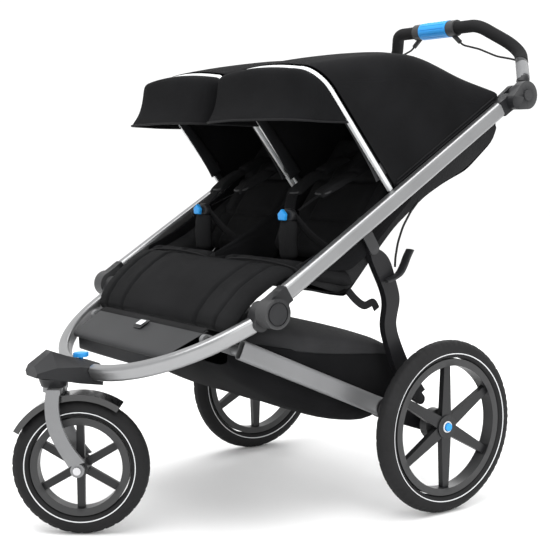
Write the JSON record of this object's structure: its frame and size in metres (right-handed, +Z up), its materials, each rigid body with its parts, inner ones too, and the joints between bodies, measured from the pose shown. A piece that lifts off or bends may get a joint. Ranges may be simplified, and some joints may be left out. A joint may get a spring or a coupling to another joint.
{
  "type": "jogging stroller",
  "caption": "Side-by-side jogging stroller with a folding tube frame, a swivelling front wheel, two canopied seats, footrest, basket and adjustable handlebar.",
  "frame": {"origin": "centre of the bounding box at floor level", "axes": "+Z up, -Y forward (front wheel), +X towards the stroller's left"},
  "size_m": [0.805, 1.266, 1.169],
  "materials": {
    "silver_tube": "satin",
    "charcoal_plastic": "moulded",
    "steel": "brushed",
    "grey_metal": "satin",
    "black_metal": "satin",
    "black_fabric": "woven",
    "grey_fabric": "woven",
    "silver_trim": "satin",
    "foam": "matte",
    "blue_plastic": "satin",
    "grey_plastic": "satin",
    "gloss_black": "gloss",
    "tyre": "matte",
    "rim": "satin",
    "cable": "satin"
  },
  "bodies": {
    "upper_frame": {"upper_tube_left": "silver_tube", "upper_tube_right": "silver_tube", "fold_housing_left": "charcoal_plastic", "fold_housing_right": "charcoal_plastic", "handle_mount_left": "charcoal_plastic", "handle_mount_right": "charcoal_plastic", "seat_base_left": "black_fabric", "seat_base_right": "black_fabric", "frame_pins": "charcoal_plastic", "rear_panel": "black_fabric", "side_panels": "black_fabric", "crotch_pads": "black_fabric", "leg_rest_pad": "black_fabric", "canopy_rear": "black_fabric", "canopy_plates": "charcoal_plastic", "brake_cable_lower": "cable"},
    "canopy_left": {"canopy_bow_left": "silver_trim", "canopy_shell_left": "black_fabric"},
    "canopy_right": {"canopy_bow_right": "silver_trim", "canopy_shell_right": "black_fabric"},
    "seat_back_left": {"seat_back_left": "black_fabric"},
    "seat_back_right": {"seat_back_right": "black_fabric"},
    "buckle_left": {"buckle_button_left": "blue_plastic"},
    "buckle_right": {"buckle_button_right": "blue_plastic"},
    "handlebar": {"handlebar_tube": "black_metal", "handlebar_grip": "foam", "handlebar_fittings": "charcoal_plastic", "brake_cable_upper": "cable"},
    "handle_button_left": {"handle_button_left": "charcoal_plastic"},
    "handle_button_right": {"handle_button_right": "charcoal_plastic"},
    "twist_grip": {"twist_grip": "blue_plastic"},
    "lower_frame": {"lower_tube_left": "silver_tube", "lower_tube_right": "silver_tube", "fold_knuckle_left": "charcoal_plastic", "fold_knuckle_right": "charcoal_plastic", "front_hub": "charcoal_plastic", "leg_pins": "steel", "footrest_panel": "grey_plastic", "footrest_skirt": "grey_fabric"},
    "swivel_lock": {"swivel_lock_knob": "blue_plastic"},
    "fork": {"fork": "grey_metal", "fender": "gloss_black", "front_axle": "steel"},
    "front_wheel": {"front_tyre": "tyre", "front_rim": "rim"},
    "rear_legs": {"rear_leg_left": "grey_metal", "rear_leg_right": "grey_metal", "rear_axle": "black_metal", "brake_drums": "charcoal_plastic", "basket": "grey_fabric"},
    "brake_pedal": {"brake_pedal": "charcoal_plastic"},
    "struts": {"back_strut_left": "black_metal", "back_strut_right": "black_metal", "fold_hook": "charcoal_plastic"},
    "rear_wheel_left": {"rear_tyre_left": "tyre", "rear_rim_left": "rim"},
    "rear_wheel_right": {"rear_tyre_right": "tyre", "rear_rim_right": "rim"},
    "hub_button_left": {"hub_button_left": "blue_plastic"},
    "hub_button_right": {"hub_button_right": "blue_plastic"}
  },
  "joints": [
    {"name": "frame_fold", "type": "hinge", "parent": "upper_frame", "child": "lower_frame", "pos_m": [0, -0.227, 0.495], "axis": [1, 0, 0], "range_deg": [0, 120], "deforming": ["basket"]},
    {"name": "leg_fold", "type": "hinge", "parent": "lower_frame", "child": "rear_legs", "pos_m": [0, -0.32, 0.434], "axis": [1, 0, 0], "range_deg": [-98, 0]},
    {"name": "strut_fold", "type": "hinge", "parent": "upper_frame", "child": "struts", "pos_m": [0, 0.062, 0.615], "axis": [1, 0, 0], "range_deg": [0, 48], "deforming": ["brake_cable_lower"]},
    {"name": "handlebar_tilt", "type": "hinge", "parent": "upper_frame", "child": "handlebar", "pos_m": [0, 0.493, 0.96], "axis": [1, 0, 0], "range_deg": [-70, 40]},
    {"name": "handle_button_left_press", "type": "slide", "parent": "upper_frame", "child": "handle_button_left", "axis": [-1, 0, 0], "range_m": [0, 0.003], "stiffness_N_per_m": 300},
    {"name": "handle_button_right_press", "type": "slide", "parent": "upper_frame", "child": "handle_button_right", "axis": [1, 0, 0], "range_m": [0, 0.003], "stiffness_N_per_m": 300},
    {"name": "twist_brake", "type": "hinge", "parent": "handlebar", "child": "twist_grip", "pos_m": [0, 0.563, 1.147], "axis": [1, 0, 0], "range_deg": [0, 35], "stiffness_Nm_per_rad": 1},
    {"name": "front_swivel", "type": "hinge", "parent": "lower_frame", "child": "fork", "pos_m": [0, -0.551, 0.3], "axis": [0, 0, 1], "continuous": true},
    {"name": "front_wheel_spin", "type": "hinge", "parent": "fork", "child": "front_wheel", "pos_m": [0.03362, -0.50622, 0.15], "axis": [0.7997, -0.6004, 0], "continuous": true},
    {"name": "rear_wheel_spin_left", "type": "hinge", "parent": "rear_legs", "child": "rear_wheel_left", "pos_m": [0.38, 0.242, 0.2], "axis": [1, 0, 0], "continuous": true},
    {"name": "rear_wheel_spin_right", "type": "hinge", "parent": "rear_legs", "child": "rear_wheel_right", "pos_m": [-0.38, 0.242, 0.2], "axis": [1, 0, 0], "continuous": true},
    {"name": "swivel_lock_turn", "type": "hinge", "parent": "lower_frame", "child": "swivel_lock", "pos_m": [0, -0.486, 0.382], "axis": [0, 0, 1], "range_deg": [0, 90]},
    {"name": "parking_brake", "type": "hinge", "parent": "rear_legs", "child": "brake_pedal", "pos_m": [0.196, 0.242, 0.2], "axis": [1, 0, 0], "range_deg": [-20, 0]},
    {"name": "hub_release_left", "type": "slide", "parent": "rear_wheel_left", "child": "hub_button_left", "axis": [-1, 0, 0], "range_m": [0, 0.003], "stiffness_N_per_m": 300},
    {"name": "hub_release_right", "type": "slide", "parent": "rear_wheel_right", "child": "hub_button_right", "axis": [1, 0, 0], "range_m": [0, 0.003], "stiffness_N_per_m": 300},
    {"name": "canopy_fold_left", "type": "hinge", "parent": "upper_frame", "child": "canopy_left", "pos_m": [0.176, 0.082, 0.79], "axis": [1, 0, 0], "range_deg": [-35, 0], "deforming": ["canopy_shell_left"]},
    {"name": "canopy_fold_right", "type": "hinge", "parent": "upper_frame", "child": "canopy_right", "pos_m": [-0.176, 0.082, 0.79], "axis": [1, 0, 0], "range_deg": [-35, 0], "deforming": ["canopy_shell_right"]},
    {"name": "recline_left", "type": "hinge", "parent": "upper_frame", "child": "seat_back_left", "pos_m": [0.16, 0.037, 0.575], "axis": [1, 0, 0], "range_deg": [-10, 0]},
    {"name": "recline_right", "type": "hinge", "parent": "upper_frame", "child": "seat_back_right", "pos_m": [-0.16, 0.037, 0.575], "axis": [1, 0, 0], "range_deg": [-10, 0]},
    {"name": "buckle_release_left", "type": "slide", "parent": "upper_frame", "child": "buckle_left", "axis": [0, 1, 0], "range_m": [0, 0.003], "stiffness_N_per_m": 300},
    {"name": "buckle_release_right", "type": "slide", "parent": "upper_frame", "child": "buckle_right", "axis": [0, 1, 0], "range_m": [0, 0.003], "stiffness_N_per_m": 300}
  ],
  "couplings": [
    {"joint": "leg_fold", "follows": "frame_fold", "ratio": -0.8118},
    {"joint": "strut_fold", "follows": "frame_fold", "ratio": 0.3956}
  ]
}
